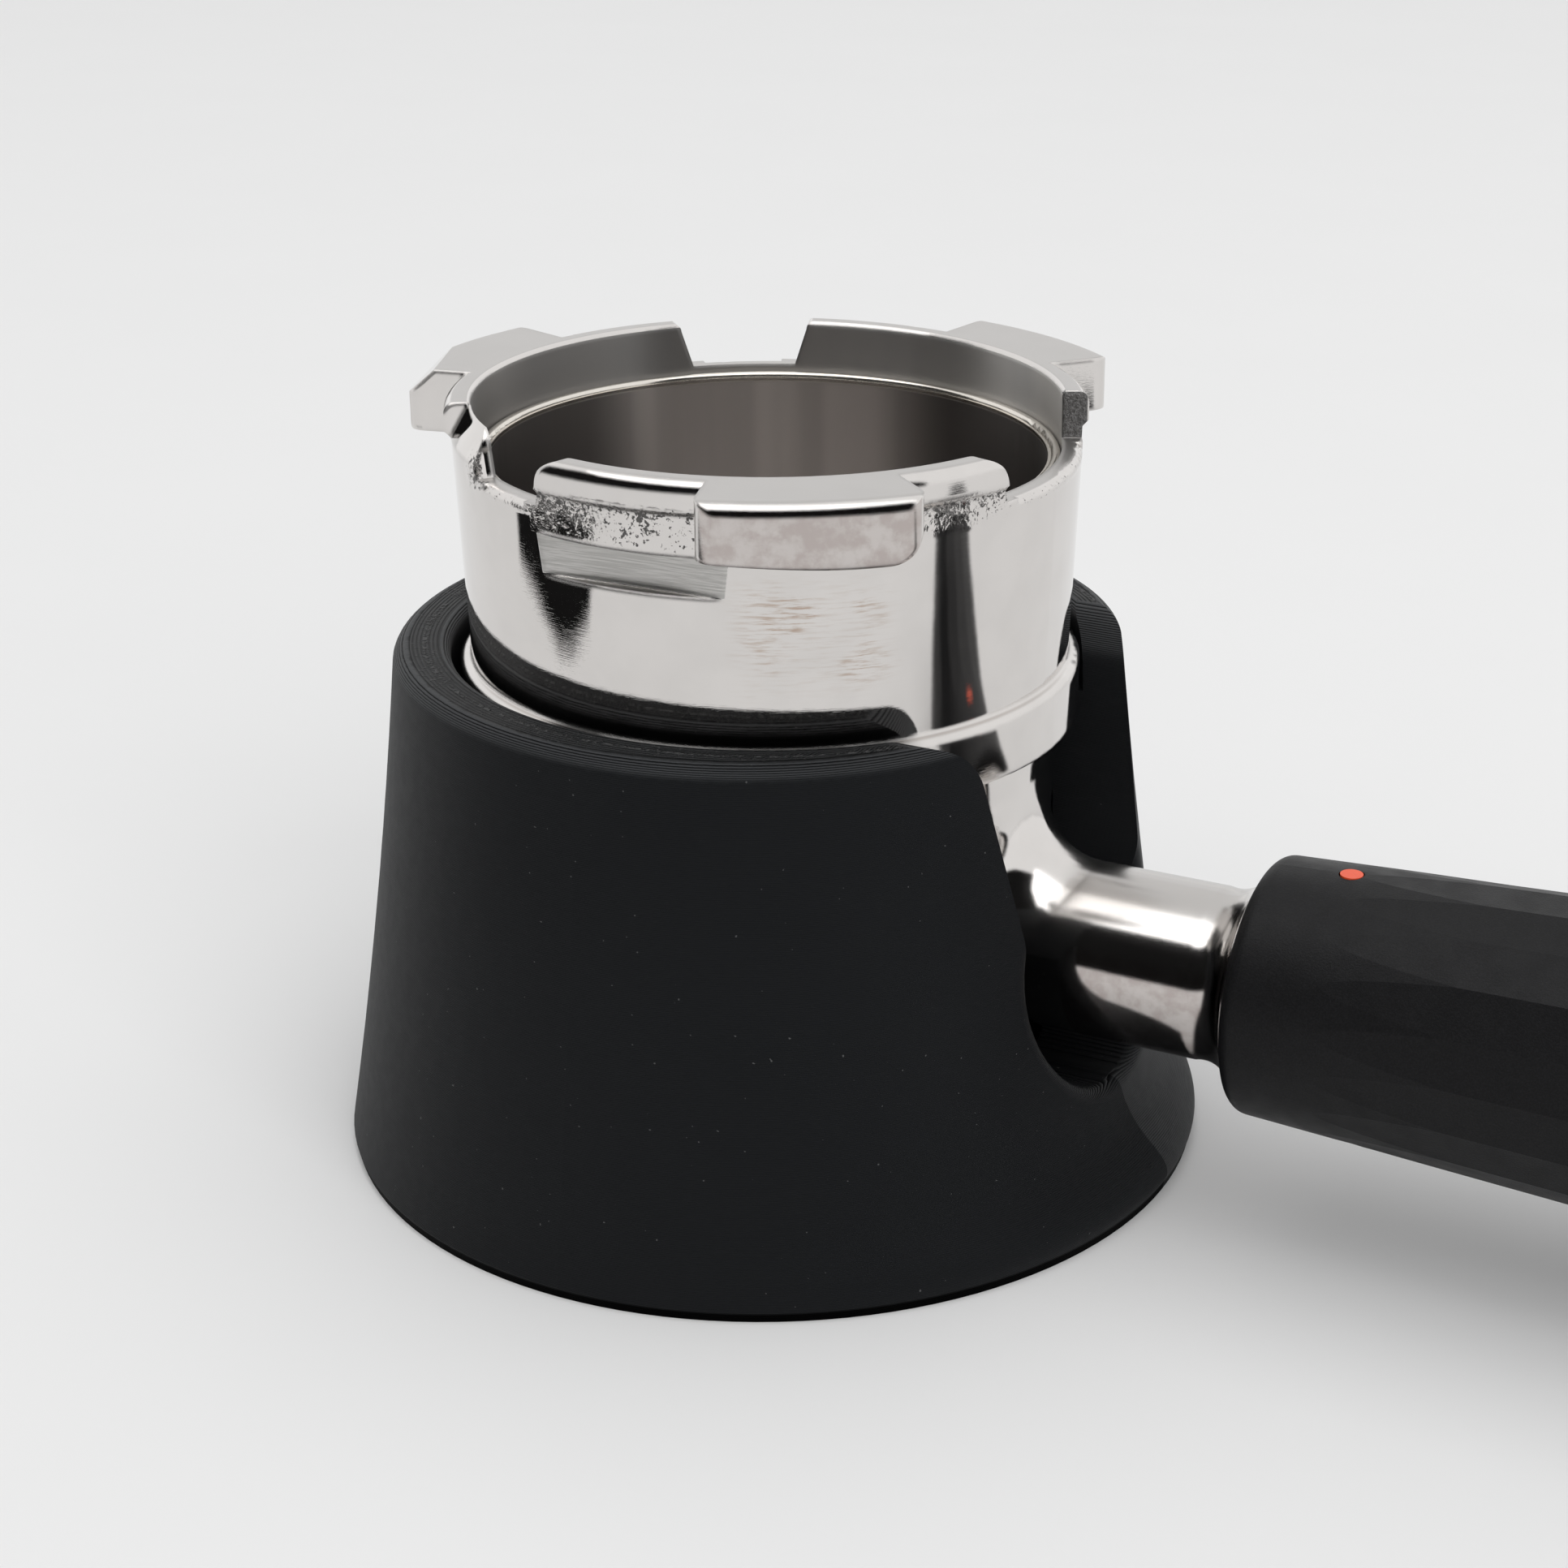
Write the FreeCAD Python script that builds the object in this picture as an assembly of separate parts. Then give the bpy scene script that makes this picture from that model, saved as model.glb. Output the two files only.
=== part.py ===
import FreeCAD, Part
import math
import os

# Tamping station: a printed round stand with a coffee portafilter docked in it.
# Millimetres. Origin at the centre of the stand's underside, +Z up, and +X along
# the neck slot and the portafilter's handle.

V = FreeCAD.Vector
UP = V(0, 0, 1)
ALONG = V(1, 0, 0)
MIDDLE = V(0, 0, 0)

# Drivers
body_radius = 33.6
stand_wall = 16.8
stand_height = 60.0
ring_top = 87.6
axis_height = 28.7
neck_radius = 9.8
fit = 0.15

# Stand: side, drawn-in cleft under the slot, bore and floor
base_radius = body_radius + stand_wall
foot_height = 1.3
foot_inset = 0.3
waist_radius = 0.906 * base_radius
rim_radius = 0.836 * base_radius
cleft_depth = 0.078 * base_radius
cleft_top_depth = 0.086 * base_radius
side_levels = 10
edge_round = 2.0
slot_round = 1.8
bore_round = 1.4
bore_radius = body_radius + 2.3
slot_radius = neck_radius + 5.7
cleft_height = axis_height - slot_radius - 0.8
slot_draft = 8.5
slot_mouth = 7.0
floor_thickness = 3.0
hollow_round = 4.0

# Portafilter casting: ring, body, bead, bowl and neck
ring_radius = body_radius + 1.0
bead_radius = body_radius + 1.3
bead_bottom = 51.4
bead_top = 58.6
bead_round = 0.8
ring_bore = body_radius - 1.3
band_radius = ring_radius + 0.7
band_bottom = ring_top - 3.2
low_rim = ring_top - 5.2
rim_round = 1.3
inner_radius = body_radius - 2.1
bowl_bottom = axis_height - neck_radius - 3.3
bowl_radius = body_radius - 1.5
bowl_flat = 8.0
bowl_wall = 4.0
bowl_top = 47.0
outlet_radius = 4.0
neck_blend = 8.0
neck_start = 12.0
flare_length = 5.0
collar_radius = 12.2
collar_width = 0.3
handle_start = base_radius + 9.8

# Raised rim segments are left between three notches. Each end of a notch in turn:
# degrees from the handle, lean in degrees, radius of its top corner.
notch_ends = ((-16.5, 18.0, 3.4), (27.8, 3.0, 0.5), (112.8, 18.0, 0.9),
              (134.5, 18.0, 0.9), (235.5, 18.0, 2.6), (254.4, 18.0, 2.8))
low_rim_round = 1.2

# The segment left of the handle is bevelled on its outside near its end, in degrees
bevel_start = 215.5
bevel_end = 236.5

# Locking lugs: middle and half width in degrees. The first two are ramped below
# their leading ends; the third has its outer top corner taken off instead.
lugs = ((-56.0, 16.3), (65.0, 15.5), (178.5, 15.5))
ramped_lugs = lugs[:2]
lug_bevel_long = 17.5
lug_bevel_wide = 3.8
lug_bevel_slope = 42.0
lug_radius = body_radius + 8.7
lug_bottom = ring_top - 7.1
lug_round = 2.2
lug_low_round = 0.9
lug_rise = 1.3
lug_ramp_length = 6.2
lug_ramp_height = 3.9

# Milled flat under the rim
flat_middle = -87.2
flat_half = 17.4
flat_low = 75.2
flat_high = 79.4

# Filter basket
bead_wire = 0.55
bead_drop = 0.75
basket_wall = 0.6
basket_clear = 0.15
basket_depth = 25.0
basket_round = 3.0
basket_seat = low_rim - bead_drop - 2.0 * bead_wire

# Handle
grip_start_radius = 14.4
grip_wide_radius = 17.0
grip_end_radius = 16.0
grip_swell = 52.0
grip_length = 112.0
grip_wide = handle_start + grip_swell
grip_end = handle_start + grip_length
grip_round = 1.8
end_round = 5.0
facet_count = 18
facet_free = 11.0
facet_run = 14.0
facet_start = handle_start + facet_free
facet_full = facet_start + facet_run
stud_radius = 5.0
stud_in_neck = 16.0
stud_in_grip = 34.0
dot_radius = 1.25
dot_depth = 0.8
dot_setback = 9.6
dot_along = handle_start + dot_setback


def line(a, b):
    return Part.makeLine(a, b)


def arc(a, b, c):
    return Part.Arc(a, b, c).toShape()


def corner(cx, cz, radius, degrees):
    a = math.radians(degrees)
    return (cx + radius * math.cos(a), cz + radius * math.sin(a))


def polar(radius, degrees, z=0.0):
    a = math.radians(degrees)
    return V(radius * math.cos(a), radius * math.sin(a), z)


def outline(points, arcs, place):
    """Closed wire through the points; arcs maps an index to the middle of its arc."""
    edges = []
    for i, p in enumerate(points):
        a = place(p)
        b = place(points[(i + 1) % len(points)])
        if i in arcs:
            edges.append(arc(a, place(arcs[i]), b))
        else:
            edges.append(line(a, b))
    return Part.Wire(edges)


def turned(points, arcs):
    """Solid turned about the upright axis from (radius, height) points."""
    face = Part.Face(outline(points, arcs, lambda p: V(p[0], 0, p[1])))
    return face.revolve(MIDDLE, UP, 360)


def turned_along(points, arcs):
    """Solid turned about the handle's axis from (distance, radius) points."""
    face = Part.Face(outline(points, arcs, lambda p: V(p[0], 0, axis_height + p[1])))
    return face.revolve(V(0, 0, axis_height), ALONG, 360)


def picked(shape, test):
    return [e for e in shape.Edges if test(e)]


def midpoint(e):
    return e.valueAt(0.5 * (e.FirstParameter + e.LastParameter))


# Stand


def side_radius(z):
    """Outer radius: leaning in near the foot, upright near the rim."""
    t = z / stand_height
    hollow = waist_radius - 0.5 * (base_radius + rim_radius)
    return base_radius + (rim_radius - base_radius) * t + 4.0 * hollow * t * (1.0 - t)


def cleft(z):
    """How far the outside is drawn in at the slot's centre line."""
    if z <= foot_height:
        return 0.0
    t = min(1.0, (z - foot_height) / (cleft_height - foot_height))
    return cleft_depth * t + (cleft_top_depth - cleft_depth) * z / stand_height


def half_section(z, radius, depth):
    """Half outline at one height: quarter circle, drawn-in quarter, flat on y = 0."""
    reach = radius - depth
    shift = (radius * radius - reach * reach) / (2.0 * radius)
    small = radius - shift
    tip_angle = math.atan2(shift, reach)
    half = 0.5 * (tip_angle - 0.5 * math.pi)
    back = V(-radius, 0, z)
    tip = V(reach, 0, z)
    middle = V(small * math.cos(half), -shift + small * math.sin(half), z)
    side = V(0, -radius, z)
    return Part.Wire([line(back, tip), arc(tip, middle, side), arc(side, polar(radius, -135.0, z), back)])


def half_shell():
    """Foot band, hollow side and the rim's outer rounding, still solid inside."""
    foot_radius = side_radius(foot_height)
    foot = Part.makeLoft([half_section(0.0, foot_radius - foot_inset, 0.0),
                          half_section(foot_height, foot_radius, 0.0)], True, True)
    shoulder = stand_height - edge_round
    levels = [foot_height + (shoulder - foot_height) * i / side_levels for i in range(side_levels + 1)]
    side = Part.makeLoft([half_section(z, side_radius(z), cleft(z)) for z in levels], True, False)
    sections = []
    for degrees in (0.0, 18.0, 36.0, 54.0, 72.0, 90.0):
        inward, z = corner(0.0, shoulder, edge_round, degrees)
        radius = side_radius(shoulder) - edge_round + inward
        sections.append(half_section(z, radius, cleft(shoulder)))
    return foot.fuse(side).fuse(Part.makeLoft(sections, True, False))


def slot_wall(z):
    """Half width of the slot at a height above the handle's axis."""
    a = math.radians(slot_draft)
    return slot_radius / math.cos(a) + (z - axis_height) * math.tan(a)


def mouth_centre():
    """Middle of the rounding between a slot wall and the rim's top."""
    z = stand_height - slot_mouth
    return slot_wall(z) + slot_mouth / math.cos(math.radians(slot_draft)), z


def slot_tool():
    """Neck slot: round bottom about the handle's axis, leaning walls, rounded mouth."""
    cy, cz = mouth_centre()
    wy, wz = corner(0.0, axis_height, slot_radius, slot_draft)
    ty, tz = corner(cy, cz, slot_mouth, 180.0 - slot_draft)
    my, mz = corner(cy, cz, slot_mouth, 135.0 - 0.5 * slot_draft)
    high = stand_height + 10.0
    points = [(-wy, wz), (wy, wz), (ty, tz), (cy, stand_height), (cy, high), (-cy, high),
              (-cy, stand_height), (-ty, tz)]
    arcs = {0: (0.0, axis_height - slot_radius), 2: (my, mz), 6: (-my, mz)}
    wire = outline(points, arcs, lambda p: V(0, p[0], p[1]))
    return Part.Face(wire).extrude(V(base_radius + 10.0, 0, 0))


def bore_tool():
    """Stepped hollow: the body's bore, the ledge it rests on, the space for the bowl."""
    under = bowl_radius + 0.5
    low = floor_thickness
    above = stand_height + 1.0
    b = bore_round
    points = [(0, low), (under - hollow_round, low), (under, low + hollow_round), (under, bead_bottom),
              (bore_radius, bead_bottom), (bore_radius, stand_height - b), (bore_radius + b, stand_height),
              (bore_radius + b, above), (0, above)]
    arcs = {1: corner(under - hollow_round, low + hollow_round, hollow_round, -45),
            5: corner(bore_radius + b, stand_height - b, b, 135)}
    return turned(points, arcs)


def slot_edge(e):
    """Edges where the slot's round bottom breaks out of the side."""
    mid = midpoint(e)
    if mid.z < foot_height + 1.0 or mid.z > axis_height or abs(mid.y) < 0.01:
        return False
    on_slot = abs(math.hypot(mid.y, mid.z - axis_height) - slot_radius) < 0.05
    return on_slot and math.hypot(mid.x, mid.y) > bore_radius + 0.8 and mid.x > 0


def stand_body():
    half = half_shell().cut(bore_tool()).cut(slot_tool()).removeSplitter()
    half = max(half.Solids, key=lambda s: s.Volume)
    half = half.makeFillet(slot_round, picked(half, slot_edge))
    whole = half.fuse(half.mirror(MIDDLE, V(0, 1, 0))).removeSplitter()
    return whole.Solids[0]


# Portafilter casting


def body_blank():
    """Outside of ring, body, bead and bowl, still solid inside."""
    under = bowl_radius
    b = bead_round
    m = rim_round
    bowl_reach = under - bowl_flat
    points = [(0, bowl_bottom), (bowl_flat, bowl_bottom), (under, bowl_top), (under, bead_bottom),
              (bead_radius - b, bead_bottom), (bead_radius, bead_bottom + b),
              (bead_radius, bead_top - b), (bead_radius - b, bead_top), (body_radius, bead_top),
              (ring_radius, band_bottom - 0.7), (band_radius, band_bottom),
              (band_radius, ring_top - m), (band_radius - m, ring_top), (0, ring_top)]
    arcs = {1: (bowl_flat + bowl_reach * math.cos(math.radians(45)),
                bowl_top - (bowl_top - bowl_bottom) * math.sin(math.radians(45))),
            4: corner(bead_radius - b, bead_bottom + b, b, -45),
            6: corner(bead_radius - b, bead_top - b, b, 45),
            11: corner(band_radius - m, ring_top - m, m, 45)}
    return turned(points, arcs)


def inside_tool():
    """Bore of the ring, the seat for the basket's bead, and the bowl's hollow."""
    edge = 0.4
    floor = bowl_bottom + bowl_wall
    bowl_inner = inner_radius - 1.6
    reach = bowl_inner - bowl_flat
    points = [(0, bowl_bottom - 1.0), (outlet_radius, bowl_bottom - 1.0), (outlet_radius, floor),
              (bowl_flat, floor), (bowl_inner, bowl_top), (inner_radius, bead_bottom + 2.0),
              (inner_radius, basket_seat),
              (ring_bore, basket_seat), (ring_bore, ring_top - edge), (ring_bore + edge, ring_top),
              (ring_bore + edge, ring_top + 1.0), (0, ring_top + 1.0)]
    arcs = {3: (bowl_flat + reach * math.cos(math.radians(45)),
                bowl_top - (bowl_top - floor) * math.sin(math.radians(45)))}
    return turned(points, arcs)


def neck():
    """Round neck that flares into a thin collar at the handle."""
    end = handle_start
    flare_end = end - collar_width
    flare_start = flare_end - flare_length
    rise = collar_radius - neck_radius
    points = [(neck_start, 0), (neck_start, neck_radius), (flare_start, neck_radius),
              (flare_end, collar_radius), (end, collar_radius), (end, 0)]
    return turned_along(points, {2: (flare_start + 0.72 * flare_length, neck_radius + 0.30 * rise)})


def radial_prism(points, arcs, degrees, near, far):
    """Prism along a radius from (sideways, height) points."""
    wire = outline(points, arcs, lambda p: V(near, p[0], p[1]))
    solid = Part.Face(wire).extrude(V(far - near, 0, 0))
    solid.rotate(MIDDLE, UP, degrees)
    return solid


def sector(points, start, end, arcs):
    """Part of a turned ring between two angles."""
    wire = outline(points, arcs, lambda p: V(p[0], 0, p[1]))
    solid = Part.Face(wire).revolve(MIDDLE, UP, end - start)
    solid.rotate(MIDDLE, UP, start)
    return solid


def notch_end(degrees, lean, radius, side):
    """Cutter that leaves a leaning end face with a rounded top corner."""
    rise = ring_top - low_rim - radius
    back = rise * math.tan(math.radians(lean))
    wide = side * 5.0
    points = [(0, low_rim), (-side * back, low_rim + rise), (-side * (back + radius), ring_top),
              (-side * (back + radius), ring_top + 2.0), (wide, ring_top + 2.0), (wide, low_rim)]
    bend = (-side * (back + 0.3 * radius), ring_top - 0.3 * radius)
    return radial_prism(points, {1: bend}, degrees, ring_bore - 4.0, band_radius + 3.0)


def notch_tools():
    """Cutters for the three notches and the bevel beside the last one."""
    inner = ring_bore - 4.0
    outer = band_radius + 3.0
    high = ring_top + 2.0
    tools = []
    for first, last in zip(notch_ends[::2], notch_ends[1::2]):
        tools.append(notch_end(*first, 1.0))
        tools.append(notch_end(*last, -1.0))
        b = low_rim_round
        floor = [(inner, low_rim), (ring_radius - b, low_rim), (ring_radius, low_rim - b),
                 (outer, low_rim - b), (outer, high), (inner, high)]
        bend = {1: corner(ring_radius - b, low_rim - b, b, 45)}
        tools.append(sector(floor, first[0] + 3.0, last[0] - 3.0, bend))
    slope = [(ring_bore, ring_top), (band_radius, low_rim), (outer, low_rim), (outer, high), (ring_bore, high)]
    tools.append(sector(slope, bevel_start, bevel_end, {}))
    return tools


def lug_plan(middle, half, root):
    """Lug seen from above, with rounded outer corners."""
    c = lug_round
    turn = math.degrees(c / lug_radius)
    a = middle - half
    b = middle + half
    points = [polar(root, a), polar(lug_radius - c, a), polar(lug_radius, a + turn),
              polar(lug_radius, b - turn), polar(lug_radius - c, b), polar(root, b)]
    arcs = {1: polar(lug_radius - 0.3 * c, a + 0.3 * turn), 2: polar(lug_radius, middle),
            3: polar(lug_radius - 0.3 * c, b - 0.3 * turn)}
    wire = outline(points, arcs, lambda p: p)
    solid = Part.Face(wire).extrude(V(0, 0, ring_top - lug_bottom))
    solid.translate(V(0, 0, lug_bottom))
    return solid


def lug_ring(root):
    """Full ring with the lug's rounded cross-section."""
    b = lug_low_round
    m = rim_round
    points = [(root, lug_bottom), (lug_radius - b, lug_bottom), (lug_radius, lug_bottom + b),
              (lug_radius, ring_top - m), (lug_radius - m, ring_top), (root, ring_top)]
    arcs = {1: corner(lug_radius - b, lug_bottom + b, b, -45), 3: corner(lug_radius - m, ring_top - m, m, 45)}
    return turned(points, arcs)


def lug_ramp(degrees, half):
    """Cutter under a lug: lowest near the leading end, which curves up."""
    low = lug_bottom - 2.0
    long = 2.3 * lug_radius * math.radians(half)
    run = lug_ramp_length
    rise = lug_ramp_height
    points = [(0.0, lug_bottom + rise), (-run, lug_bottom), (-long, lug_bottom + lug_rise), (-long, low),
              (2.0, low), (2.0, lug_bottom + rise)]
    bend = (-0.32 * run, lug_bottom + 0.27 * rise)
    return radial_prism(points, {0: bend}, degrees, ring_radius - 3.0, lug_radius + 4.0)


def lug_bevel(degrees):
    """Cutter that slopes the top away outside a line across the lug's outer corner."""
    start = polar(lug_radius, degrees - lug_bevel_long, ring_top)
    end = polar(lug_radius - lug_bevel_wide, degrees, ring_top)
    along = (end - start).normalize()
    out = along.cross(UP)
    reach = 2.0 * lug_bevel_wide + 4.4
    drop = reach * math.tan(math.radians(lug_bevel_slope))
    first = start - along * 4.0
    wire = outline([first, first + out * reach - UP * drop, first + out * reach + UP * 2.0, first + UP * 2.0], {},
                   lambda p: p)
    return Part.Face(wire).extrude(along * 1.5 * lug_bevel_long)


def lug(middle, half):
    """One locking lug: flush with the rim and rounded outside."""
    root = ring_radius - 1.0
    body = lug_plan(middle, half, root).common(lug_ring(root))
    if (middle, half) in ramped_lugs:
        return body.cut(lug_ramp(middle + half, half))
    return body.cut(lug_bevel(middle + half))


def milled_flat():
    """Flat cut into the side below the rim, with a ledge under it."""
    distance = (ring_radius - 0.3) * math.cos(math.radians(flat_half))
    wide = 2.0 * ring_radius
    box = Part.makeBox(ring_radius, wide, flat_high - flat_low, V(distance, -0.5 * wide, flat_low))
    box.rotate(MIDDLE, UP, flat_middle)
    return box


def neck_joint(e):
    """The closed curve where the neck leaves the bowl."""
    box = e.BoundBox
    return neck_start + 1.0 < box.XMin and box.XMax < bead_radius and min(box.YLength, box.ZLength) > 0.9 * neck_radius


def portafilter_body():
    blank = body_blank().fuse(neck()).removeSplitter()
    blank = blank.makeFillet(neck_blend, picked(blank, neck_joint))
    for middle, half in lugs:
        blank = blank.fuse(lug(middle, half))
    blank = blank.cut(milled_flat())
    blank = blank.cut(inside_tool())
    for tool in notch_tools():
        blank = blank.cut(tool)
    bore = Part.makeCylinder(stud_radius + fit, stud_in_neck + 2.0,
                             V(handle_start - stud_in_neck - fit, 0, axis_height), ALONG)
    blank = blank.cut(bore).removeSplitter()
    return max(blank.Solids, key=lambda s: s.Volume)


# Basket


def filter_basket():
    """Pressed cup hanging by its rolled bead."""
    outside = inner_radius - basket_clear
    inside = outside - basket_wall
    roll_r = ring_bore - basket_clear - bead_wire
    roll_z = basket_seat + bead_wire
    low = roll_z - basket_depth
    r_out = basket_round
    r_in = basket_round - basket_wall
    join = roll_z
    points = [(0, low), (outside - r_out, low), (outside, low + r_out), (outside, join),
              (inside, join), (inside, low + r_out), (outside - r_out, low + basket_wall), (0, low + basket_wall)]
    arcs = {1: corner(outside - r_out, low + r_out, r_out, -45),
            5: corner(outside - r_out, low + r_out, r_in, -45)}
    cup = turned(points, arcs)
    roll = Part.makeTorus(roll_r, bead_wire, V(0, 0, roll_z), UP)
    return cup.fuse(roll).removeSplitter().Solids[0]


# Handle


def grip_at(x):
    return grip_start_radius + (grip_wide_radius - grip_start_radius) * (x - handle_start) / (grip_wide - handle_start)


def facet_cutter():
    """Everything outside one flat, which runs out at the round neck end."""
    flat = math.cos(math.pi / facet_count)
    high = 1.3 * grip_wide_radius
    end = grip_end + 1.0
    points = [(facet_start, grip_at(facet_start)), (facet_full, grip_at(facet_full) * flat),
              (grip_wide, grip_wide_radius * flat), (end, grip_end_radius * flat), (end, high),
              (facet_start, high)]
    wire = outline(points, {}, lambda p: V(p[0], -high, axis_height + p[1]))
    return Part.Face(wire).extrude(V(0, 2.0 * high, 0))


def handle_grip():
    """Tapered grip with a rounded neck end, flats, and a domed far end."""
    s = handle_start
    g = grip_round
    n = end_round
    points = [(s, 0), (s, grip_start_radius - g), (s + g, grip_at(s + g)), (grip_wide, grip_wide_radius),
              (grip_end - n, grip_end_radius), (grip_end, grip_end_radius - n), (grip_end, 0)]
    arcs = {1: (s + 0.3 * g, grip_at(s + g) - 0.3 * g),
            4: (grip_end - 0.3 * n, grip_end_radius - 0.3 * n)}
    body = turned_along(points, arcs)
    for i in range(facet_count):
        cutter = facet_cutter()
        cutter.rotate(V(0, 0, axis_height), ALONG, 360.0 * i / facet_count)
        body = body.cut(cutter)
    body = body.cut(Part.makeCylinder(stud_radius + fit, stud_in_grip + fit, V(s, 0, axis_height), ALONG))
    body = body.cut(dot_shape(fit, dot_depth + fit, 2.0)).removeSplitter()
    return max(body.Solids, key=lambda q: q.Volume)


def dot_shape(grow, depth, above):
    """Round inlay in the top of the grip's skin."""
    reach = grip_at(dot_along)
    return Part.makeCylinder(dot_radius + grow, depth + above, V(dot_along, 0, axis_height + reach - depth), UP)


def handle_dot():
    return dot_shape(0.0, dot_depth, 0.05)


def handle_stud():
    """Threaded rod that holds the handle to the neck."""
    return Part.makeCylinder(stud_radius, stud_in_neck + stud_in_grip,
                             V(handle_start - stud_in_neck, 0, axis_height), ALONG)


NODES = {
    "stand_body": stand_body,
    "portafilter_body": portafilter_body,
    "filter_basket": filter_basket,
    "handle_grip": handle_grip,
    "handle_dot": handle_dot,
    "handle_stud": handle_stud,
}


def main():
    os.makedirs("parts", exist_ok=True)
    for name, make in NODES.items():
        shape = make()
        box = shape.BoundBox
        print(name, shape.ShapeType, shape.isValid(), round(shape.Volume), len(shape.Faces),
              [round(v, 1) for v in (box.XMin, box.YMin, box.ZMin, box.XMax, box.YMax, box.ZMax)])
        shape.exportStep("parts/" + name + ".step")


main()
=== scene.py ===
import math
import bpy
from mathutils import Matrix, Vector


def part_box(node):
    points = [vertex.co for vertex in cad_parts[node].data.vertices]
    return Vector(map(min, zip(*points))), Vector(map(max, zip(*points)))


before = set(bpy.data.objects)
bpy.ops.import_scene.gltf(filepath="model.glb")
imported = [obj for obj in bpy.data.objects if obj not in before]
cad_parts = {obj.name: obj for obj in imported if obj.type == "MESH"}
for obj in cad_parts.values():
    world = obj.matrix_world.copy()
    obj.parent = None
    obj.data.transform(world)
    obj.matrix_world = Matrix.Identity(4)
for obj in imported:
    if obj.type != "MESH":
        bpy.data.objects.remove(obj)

from types import SimpleNamespace

import bpy
from mathutils import Matrix, Vector

bl_info = {
    "name": "Tamping Station",
    "version": (1, 0, 0),
    "blender": (4, 5, 0),
    "location": "3D View > Sidebar > Tamping",
    "description": "Printed tamping stand with a portafilter docked in it, and its studio",
    "category": "Add Mesh",
}

MM = 0.001

# Heights on the solids, in millimetres
STAND_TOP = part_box("stand_body")[1][2] / MM
CASTING_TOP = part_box("portafilter_body")[1][2] / MM
NOTCH_LEVEL = CASTING_TOP - 5.2
# Heights between which the painted contact shadow along the stand's bottom eases out
FOOT_PAINTED_SHADOW = (0.9, 1.4)
FLAT = (75.25, 79.4)
BORE_LOW = 50.0
NECK_LIMIT = (53.0, 57.0)
BASKET_ROUND = (59.0, 63.0)
BASKET_HEM = (80.5, 80.9)

# Distances from the upright axis, in millimetres
BORE_LIMIT = 32.6
FLAT_DEPTH = 32.72
LUG_START = 35.1
LUG_RADIUS = 42.3
RIM_WALLS = (37.9, 39.2)
RIM_SEAM = (38.4, 38.9)
HOLES_RADIUS = 25.9

# Distances along the handle, in millimetres
NECK_ROOT = (28.0, 37.0)
NECK_START = (37.0, 41.0)

# Stretches of the turn, in degrees from the handle
NOTCH_END = (25.0, 29.4)
# Turn of the basket's wall that gets the painted highlight
WALL_PAINTED_HIGHLIGHT = (85.0, 151.0)
KEEL_HALF = 22.0

# Places on the casting: a stretch of the turn in degrees, and two heights in millimetres
LEFT_END = ((-107.0, -72.4), (79.8, 84.5))
RIGHT_END = ((-39.5, -16.0), (80.8, 84.3))
GATE = ((-129.0, -121.0), (81.0, 86.0))
LOW_EDGE = ((-127.0, 27.0), (81.2, 82.5))
STAIN = ((-66.0, -42.0), (65.5, 76.5))
# Place of the painted shade that hides a highlight line on the bead by the bore
GROOVE_PAINTED_SHADE = ((-104.0, -38.0), (57.7, 58.8))

# Painted dark reflections as streaks in the bore: start, end and softness in degrees, and strength
BORE_PAINTED_STREAKS = ((135.0, 152.0, 7.0, 1.0), (80.0, 100.0, 8.0, 0.9), (50.0, 57.0, 4.0, 1.0),
                (172.0, 176.0, 4.0, 0.6))

# Slanting strokes and wall lines per millimetre, and millimetres per degree on the rim and the ring
STROKES_PER_MM = 1.9
WALLS_PER_MM = 2.2
RIM_PER_DEGREE = 0.675
RING_PER_DEGREE = 0.6

# Tones of the worked metal
BROWN = (0.47, 0.375, 0.31)
SMUDGE = (0.44, 0.385, 0.365)
FACED = (0.36, 0.35, 0.34)
CUT_DARK = (0.53, 0.52, 0.50)
CUT_PALE = (0.66, 0.645, 0.625)
# Painted shade and painted light at the two sides of the bore, standing in for its reflections
BORE_PAINTED_SHADE = (0.33, 0.32, 0.31)
BORE_PAINTED_LIGHT = (0.60, 0.585, 0.565)
# Painted shade that dims the reflection on the top of the neck
NECK_TOP_PAINTED_SHADE = (0.46, 0.445, 0.43)
HEM_PALE = (0.78, 0.74, 0.68)

# Camera, in metres, degrees and shares of the frame
CAMERA_PLACE = (0.15422, -0.28525, 0.17438)
CAMERA_AIM = (-0.37307, 0.84039, -0.39315)
CAMERA_ROLL = 1.0626
CAMERA_SHIFT = (-0.1321, 0.0276)
SENSOR_WIDTH = 36.0
CLIP_START = 0.01

# Lights, in metres
SOFT_BOX_PLACE = (0.0, 0.3, 3.4)
SOFT_BOX_SIZE = 3.6
FILL_PLACE = (1.4, -1.2, 1.4)
FILL_AIM = (0.06, 0.0, 0.0)
FILL_SIZE = 1.6

# Cards that show only in reflections: sizes in metres, the dark card's corners in millimetres
BRIGHT_PLACE = (0.2, -1.2, 3.4)
BRIGHT_SIZE = (4.8, 2.7)
BRIGHT_STRENGTH = 2.0
CURTAIN_RADIUS = 0.6
CURTAIN_HEIGHT = 0.84
CURTAIN_LIFT = 0.002
CURTAIN_CUT = 0.15
CARD = ((-152.0, -68.0, 36.0), (-88.5, -144.5, 33.0), (-94.5, -138.0, 16.5), (-98.0, -134.5, 12.5),
        (-113.0, -119.5, 8.0), (-124.0, -106.0, 8.5), (-144.0, -78.5, 18.5), (-152.0, -65.0, 22.5))


# Shader building


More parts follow.
